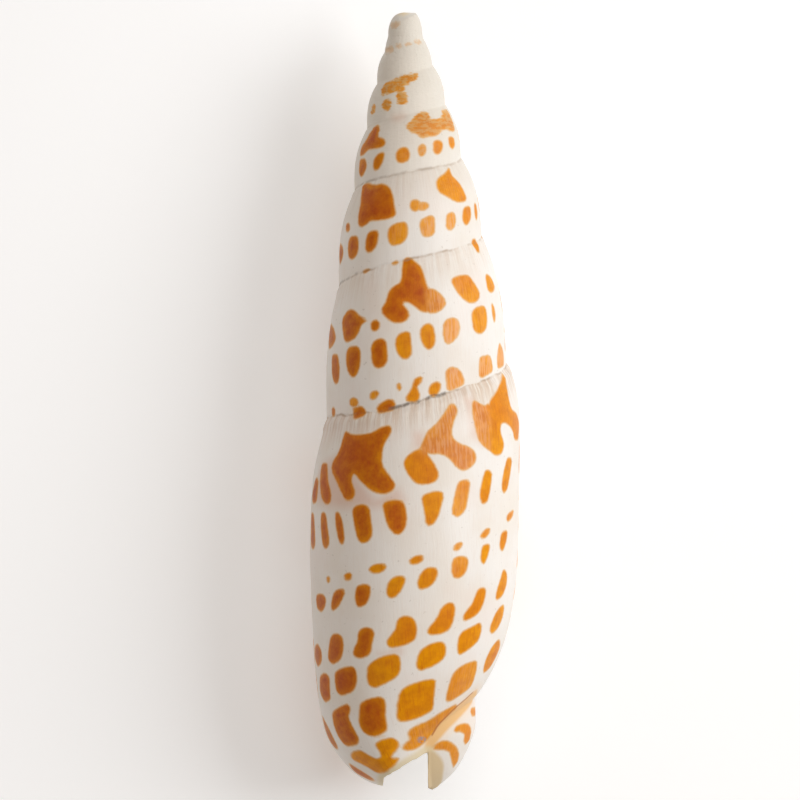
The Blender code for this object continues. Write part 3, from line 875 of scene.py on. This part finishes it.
# %% Blotches by rule, for the under side
SHAPES = [
    [(-2.4, -2.6), (-0.6, -1.9), (1.6, -3.0), (2.3, -1.2), (1.5, 0.6), (2.6, 3.0), (1.0, 3.6),
     (-0.2, 1.2), (-1.6, 3.2), (-2.6, 2.6), (-2.0, 0.4)],
    [(0.2, -4.2), (1.2, -1.6), (2.6, 1.0), (3.0, 2.6), (1.4, 2.0), (0.4, 0.4), (-0.6, 2.4),
     (-2.6, 3.2), (-2.9, 1.6), (-1.2, -0.6)],
    [(-2.2, -2.0), (2.0, -2.6), (2.4, 0.8), (1.2, 2.6), (-1.0, 2.0), (-2.6, 2.8), (-2.8, 0.4)],
]
BLOTCHES_PER_TURN, LARGER = 7.2, 1.4
for step in range(-36, 1):
    turn_here = 0.06 + step / BLOTCHES_PER_TURN
    angle_here = (turn_here * 360 + 180) % 360
    glazed = turn_here > WALL_TURN - 0.02 and 222 < angle_here < 280
    if (190 < angle_here < 352) and not glazed:
        size_here = GROWTH ** turn_here
        depth_here = float(suture_depth(turn_here)) + chance.uniform(6.8, 7.8) * size_here
        larger = LARGER * size_here
        shape = [(x * larger, y * larger - 0.2 * x * larger)
                 for x, y in SHAPES[chance.randrange(3)]]
        add_mark((angle_here, depth_here), shape, chance.choice(["plain", "dark", "soft"]))
brown, worn = brown / weights, worn / weights
print("points inside marks all round:", int((mark < 0).sum()))


# %% [markdown]
# ## Stains and the band round the canal
#
# A few things aren't marks: pink-brown stains beside the blotches, dark grey in parts of three
# seams, the sharp ridge over the canal with an orange-brown line along it, partly painted shade
# under its edge, and a yellow band under it, the beige side of the canal, partly painted shade
# of its hollow, a small chip, and the cream rim of the notch. The rim's distance comes from the
# cut. The rest are placed in the picture.


# %% Distances to the stains, the ridge and the notch
def distance_to(corners, closed=True):
    """Distance in mm of every point to an outline or a line that is drawn in the picture."""
    centre, flat = drawn(corners)
    x, y = around_shell(centre)
    distance = np.full(len(depth), 9.0)
    near = np.flatnonzero((np.abs(x) < 25) & (np.abs(y) < 40) & (under < SKIN) & (height > -6))
    if closed:
        distance[near] = polygon_distance(x[near], y[near], rounded(flat))
    else:
        there_and_back = flat + flat[-2:0:-1]
        distance[near] = np.abs(polygon_distance(x[near], y[near], there_and_back))
    return distance


STAINS = [
    [(322, 462), (340, 452), (356, 470), (376, 498), (398, 486), (408, 500), (386, 508), (345, 510),
     (322, 508), (313, 495)],
    [(411, 431), (426, 431), (428, 452), (412, 450)],
    [(465, 398), (474, 398), (484, 448), (470, 438)],
    [(391, 116), (406, 114), (404, 121), (393, 122)],
    [(404, 654), (400, 640), (388, 650), (375, 652), (388, 656)],
]
stain = np.min([distance_to(corners) for corners in STAINS], axis=0)
# RIDGE: the line along the ridge, partly its own orange-brown and partly painted shade under its
# overhanging edge
RIDGE = [(470, 694), (466, 698), (455, 707), (446, 716), (438, 724), (434, 731)]
ridge_near = distance_to(RIDGE, closed=False)
ridge = distance_to([(489, 674), (477, 688)] + RIDGE + [(424, 748), (440, 790), (520, 740)])
BAND = [(477, 688), (455, 707), (438, 724), (424, 744), (428, 754), (436, 742), (448, 728),
        (462, 714), (473, 700)]
band = distance_to(BAND)
# beige side of the canal, partly its own colour and partly painted shade of its hollow
SHADED_CANAL_FACE = [(428, 750), (434, 751), (441, 757), (444, 765), (442, 775), (437, 790), (426, 790)]
shaded_canal_face = distance_to(SHADED_CANAL_FACE)
CHIP = [(417, 736), (424, 735), (427, 739), (422, 743), (417, 741)]
chip = distance_to(CHIP)
notch_rim = polygon_distance(across, depth, NOTCH)
notch_rim = np.where((height > -4) & (under < SKIN), notch_rim, 9.0)
print("points under the ridge's band:", int((band < 0).sum()))


# %% Keep the fields with the mesh
def keep(name, values, low=-3, high=3):
    """Store one number per point under a name that a shader can read."""
    values = np.clip(np.asarray(values, np.float32), low, high)
    shell.data.attributes.new(name, "FLOAT", "POINT").data.foreach_set("value", values)


def in_seam(left, right, whorl):
    """Whether a point lies by the seam over a whorl, between two places in the picture."""
    between = (angle > from_picture(*right)[0]) & (angle < from_picture(*left)[0])
    just_below = np.abs(turn + 0.25 + whorl) < 0.3
    just_above = (np.abs(turn + 1.25 + whorl) < 0.3) & (above_next < 1.5)
    return between & (just_below | just_above)


# dark grey in parts of three seams, strongest in the last one
grey_seams = np.maximum(in_seam((388, 410), (446, 392), 0), 0.5 * in_seam((340, 284), (356, 278), 1))
grey_seams = np.maximum(grey_seams, 0.2 * in_seam((356, 182), (432, 168), 2))
outermost = under < 0.8
seam_gap = np.where(outermost, np.minimum(below_suture, above_next), 9.0)
fields = {"mark": mark, "brown": brown, "worn": worn, "under": under, "stain": stain,
          "ridge": ridge, "ridge_near": ridge_near, "band": band, "shaded_canal_face": shaded_canal_face,
          "chip": chip, "notch_rim": notch_rim, "seam": seam_gap, "grey_seams": grey_seams}
for name, values in fields.items():
    keep(name, values)
keep("below", np.where(outermost, below_suture, 60), 0, 60)

# %% [markdown]
# ## The finish
#
# The shell is white porcelain-like lime with a soft shine. Over the white lie faint pink and
# cream clouds, thin growth lines across each whorl, fine spiral lines near the tip, orange
# marks with a yellow edge, and dark grey in some seams. The line along the ridge and the beige
# side of the canal are partly painted shade. Everything is made by nodes, from the fields kept
# on the mesh and from the place of the point on the shell.


# %% Small helpers for the node tree
def paint(code):
    """Colour as the shader wants it, from the red, green and blue seen on a screen."""
    parts = [int(code[i:i + 2], 16) / 255 for i in (0, 2, 4)]
    return [part / 12.92 if part <= 0.04045 else ((part + 0.055) / 1.055) ** 2.4
            for part in parts] + [1]


glaze = bpy.data.materials.new("shell_glaze")
glaze.use_nodes = True
tree = glaze.node_tree
surface = tree.nodes["Principled BSDF"]


def node(kind, inputs=(), **settings):
    """New node with its settings, and a value or a link for each named or numbered input."""
    made = tree.nodes.new("ShaderNode" + kind)
    for name, value in settings.items():
        setattr(made, name, value)
    for name, value in dict(inputs).items():
        if isinstance(value, bpy.types.NodeSocket):
            tree.links.new(value, made.inputs[name])
        else:
            made.inputs[name].default_value = value
    return made


def field(name):
    """The values that the mesh keeps under a name."""
    return node("Attribute", attribute_name=name).outputs["Fac"]


def ramp(value, start, end, low=0.0, high=1.0):
    """Smooth change from low to high while the value goes from start to end."""
    return node("MapRange", {0: value, 1: start, 2: end, 3: low, 4: high},
                interpolation_type="SMOOTHSTEP").outputs[0]


def times(a, b, operation="MULTIPLY"):
    """Two values multiplied, or joined by another operation."""
    return node("Math", {0: a, 1: b}, operation=operation).outputs[0]


def mixed(share, low, high, blend="MIX"):
    """Colour between two, by a share."""
    return node("Mix", {0: share, 6: low, 7: high}, data_type="RGBA", blend_type=blend).outputs[2]


def painted(base, layers):
    """Colour with layers laid over it in turn, each a share and the colour that it adds."""
    for share, code in layers:
        base = mixed(share, base, paint(code))
    return base


def clouds(where, scale, detail=3.0, rough=0.5):
    """Soft noise between 0 and 1."""
    return node("TexNoise", {"Vector": where, "Scale": scale, "Detail": detail,
                             "Roughness": rough}).outputs["Fac"]


# %% Where a point is: in space, round the axis and along it
spot = node("TexCoord").outputs["Object"]
from_axis = node("VectorMath", {0: spot, 1: (-AXIS_ACROSS * MM, 0, -AXIS_HEIGHT * MM)},
                 operation="ADD").outputs[0]
flat = node("VectorMath", {0: from_axis, 1: (1, 0, 1)}, operation="MULTIPLY").outputs[0]
round_axis = node("VectorMath", {0: flat}, operation="NORMALIZE").outputs[0]
along = node("SeparateXYZ", {0: spot}).outputs[1]
sweep = node("VectorMath", {0: round_axis, 1: (0.15, 0, 0.15)}, operation="MULTIPLY").outputs[0]


def stretched(where, share):
    """Place for a noise of long streaks: the smaller the share of the length, the longer."""
    drop = node("CombineXYZ", {1: times(along, share)}).outputs[0]
    return node("VectorMath", {0: where, 1: drop}, operation="ADD").outputs[0]


growth_place = stretched(round_axis, 6.0)
dash_place = stretched(round_axis, 9.0)
spiral_place = stretched(sweep, 60.0)
growth_lines = clouds(growth_place, 60, 4, 0.6)
broad_growth = clouds(growth_place, 14, 2, 0.5)
streak_lines = clouds(growth_place, 34, 4, 0.6)
fine_growth = clouds(growth_place, 170, 2, 0.5)
dashes = clouds(dash_place, 48, 2, 0.5)
spiral_lines = clouds(spiral_place, 42, 2, 0.5)
patches = clouds(spot, 110, 3)
mottling = clouds(spot, 800, 3, 0.6)
specks = clouds(spot, 1500, 2)
toward_tip = ramp(along, 0.020, 0.050)

# %% White ground with cream and pink clouds, then the band, the notch and the canal
under_seam = times(ramp(field("below"), 6.0, 0.5), ramp(along, 0.004, 0.016, 1.0, 0.4))
broad = ramp(broad_growth, 0.38, 0.6, 0.15, 0.75)
streaks = times(under_seam, ramp(streak_lines, 0.45, 0.62))
pale_streaks = times(under_seam, ramp(streak_lines, 0.46, 0.34))
pink = ramp(clouds(spot, 75, 2), 0.5, 0.68)
ground = mixed(ramp(patches, 0.35, 0.7), paint("EEEAE5"), paint("EAE3DA"))
ground = painted(ground, [
    (times(under_seam, broad), "D9C5B0"),                            # cream under the seams
    (times(streaks, 0.45), "C9B09B"),                                # brown streaks there
    (times(pale_streaks, 0.6), "F3EEE6"),                            # and white ones
    (times(ramp(growth_lines, 0.45, 0.75), 0.25), "E6D8CC"),         # growth lines
    (times(pink, 0.15), "EBCCC0"),                                   # faint pink clouds
    (times(toward_tip, 0.8), "DDD7CB"),                              # the greyer tip
    (times(ramp(specks, 0.68, 0.76), 0.35), "B9AFA3"),               # specks
    (times(ramp(field("stain"), 1.0, -1.6), 0.42), "D59A78"),        # stains
    (times(ramp(field("band"), 2.0, 0.0), 0.35), "F6D9B8"),          # glow round the band
    (times(ramp(field("band"), 0.4, -0.3), 0.85), "EDBB74"),         # the band
    (times(ramp(field("notch_rim"), 1.5, 0.5), 0.8), "E2D2AC"),      # rim of the notch
    # beige side of the canal, partly its own colour and partly painted shade of its hollow
    (ramp(field("shaded_canal_face"), 0.35, -0.35), "DCC59E"),              # side of the canal
])

# %% Orange marks with a soft edge
rough_edge = times(times(specks, 0.5, "SUBTRACT"), 0.2)
comb_edge = times(times(spiral_lines, 0.5, "SUBTRACT"), ramp(along, 0.038, 0.046))
edge = times(field("mark"), times(rough_edge, comb_edge, "ADD"), "ADD")
down_hatch = ramp(dashes, 0.40, 0.60)
round_hatch = ramp(spiral_lines, 0.40, 0.60)
hatch = node("Mix", {0: toward_tip, 2: down_hatch, 3: round_hatch}).outputs[0]
thinned = ramp(field("worn"), 0.8, 1.0, 1.0, 0.3)
fringe = times(ramp(edge, 0.30, -0.08), times(thinned, 0.9))
middle = times(ramp(edge, 0.10, -0.26), thinned)
browned = times(field("brown"), ramp(edge, -0.2, -1.1, 0.6, 1.0))
browned = times(browned, times(times(mottling, 0.5, "SUBTRACT"), 1.0), "ADD")
bright = mixed(ramp(patches, 0.35, 0.65), paint("EA9A00"), paint("E28A06"))
orange = mixed(browned, bright, paint("B04C10"))
orange = mixed(times(ramp(growth_lines, 0.48, 0.72), 0.4), orange, paint("C45C12"))
rubbed = mixed(toward_tip, paint("EDB688"), paint("D0AC70"))
orange = mixed(times(field("worn"), ramp(hatch, 0, 1, 0.3, 1.0)), orange, rubbed)
coloured = mixed(middle, painted(ground, [(fringe, "E0B06A")]), orange)

# %% Seams, dark grey in seams, the ridge's line with painted shade, and the inside
seam_line = ramp(field("seam"), 0.34, 0.0)
broken = times(ramp(clouds(spot, 300, 3, 0.6), 0.40, 0.66, 0.0, 0.6), ramp(along, 0.045, 0.03))
# dark grey in parts of three seams, broken by noise
grey_seam_place = times(field("grey_seams"), ramp(clouds(spot, 420, 3, 0.7), 0.36, 0.56))
grey = times(times(grey_seam_place, ramp(field("seam"), 0.5, 0.05)), 0.7)
# orange-brown line along the ridge, partly painted shade under its overhanging edge
ridge_line_and_shade = times(ramp(times(field("ridge"), 0, "ABSOLUTE"), 0.2, 0.05),
                   ramp(field("ridge_near"), 0.9, 0.5))
chipped = times(ramp(field("chip"), 0.2, -0.3), ramp(specks, 0.4, 0.55))
# seam lines, dark grey in seams, the ridge's line (partly painted shade under its edge) and the
# chip
coloured = painted(coloured, [(times(seam_line, broken), "A08468"), (grey, "6E665F"),
                              (times(ridge_line_and_shade, 0.7), "B2642E"), (chipped, "9C949A")])
inside = ramp(field("under"), 0.35, 1.3)
cream = mixed(ramp(patches, 0.3, 0.7), paint("F0E2C4"), paint("EBD7B2"))
coloured = mixed(inside, coloured, cream)
tree.links.new(coloured, surface.inputs["Base Color"])

# %% Shine and relief
gloss = ramp(patches, 0.3, 0.7, 0.34, 0.46)
gloss = times(gloss, times(seam_line, 0.25), "ADD")
tree.links.new(gloss, surface.inputs["Roughness"])
for name, value in {"Specular IOR Level": 0.15, "Coat Weight": 0.04,
                    "Coat Roughness": 0.2}.items():
    surface.inputs[name].default_value = value
relief = times(times(growth_lines, 0.6), times(fine_growth, 0.3), "ADD")
relief = times(relief, times(times(under_seam, 1.6), 0.7, "ADD"))
relief = times(relief, times(times(spiral_lines, toward_tip), 1.2), "ADD")
raised = node("Bump", {"Height": relief, "Strength": 0.35, "Distance": 0.0002})
tree.links.new(raised.outputs[0], surface.inputs["Normal"])
shell.data.materials.clear()
shell.data.materials.append(glaze)
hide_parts("shell")
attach(shell, "root")
print("nodes in the finish:", len(tree.nodes))

# %% [markdown]
# ## Floor, light and camera
#
# The picture has a plain white ground and soft light from the right. The camera looks straight
# down on the shell from far off, so it shows almost no perspective, and is turned by two
# degrees because the shell leans a little in the frame.

# %% A pale floor
mesh = bmesh.new()
bmesh.ops.create_grid(mesh, x_segments=1, y_segments=1, size=1.5)
floor = new_piece("floor", mesh)
pale = bpy.data.materials.new("pale_floor")
pale.use_nodes = True
for name, value in {"Base Color": (0.92, 0.94, 0.96, 1), "Roughness": 0.9,
                    "Emission Color": (1, 1, 1, 1), "Emission Strength": 0.2}.items():
    pale.node_tree.nodes["Principled BSDF"].inputs[name].default_value = value
floor.data.materials.append(pale)


# %% Soft studio light
def add_light(name, where, size, power, colour=(1, 1, 1)):
    """A square soft light that looks at the shell."""
    data = bpy.data.lights.new(name, "AREA")
    data.size, data.energy, data.color = size, power, colour
    light = bpy.data.objects.new(name, data)
    light.location = where
    gaze = Vector((0, 0, 0.01)) - light.location
    light.rotation_euler = gaze.to_track_quat("-Z", "Y").to_euler()
    bpy.context.scene.collection.objects.link(light)


add_light("key", (0.65, 0.15, 0.5), 0.5, 4.6)
add_light("fill", (-0.6, -0.1, 0.8), 0.9, 0.9, (1, 0.78, 0.60))
add_light("top", (0.15, 0.3, 0.9), 0.7, 2.0)
world = bpy.data.worlds.new("studio")
world.use_nodes = True
world.node_tree.nodes["Background"].inputs[0].default_value = (1, 0.89, 0.79, 1)
world.node_tree.nodes["Background"].inputs[1].default_value = 0.26
bpy.context.scene.world = world
bpy.context.scene.view_settings.view_transform = "Standard"

# %% The camera
FRAME_WIDTH = 800 * PIXEL * MM
CAMERA_HEIGHT = 3.0
camera_data = bpy.data.cameras.new("camera")
camera_data.sensor_width = 36
camera_data.lens = 36 * (CAMERA_HEIGHT - AXIS_HEIGHT * MM) / FRAME_WIDTH
camera_data.clip_end = 10
camera = bpy.data.objects.new("camera", camera_data)
camera.location = (-1.72 * MM, 0.35 * MM, CAMERA_HEIGHT)
camera.rotation_euler = (0, 0, -math.atan(AXIS_LEAN))
bpy.context.scene.collection.objects.link(camera)
bpy.context.scene.camera = camera
print("lens:", round(camera_data.lens), "mm")
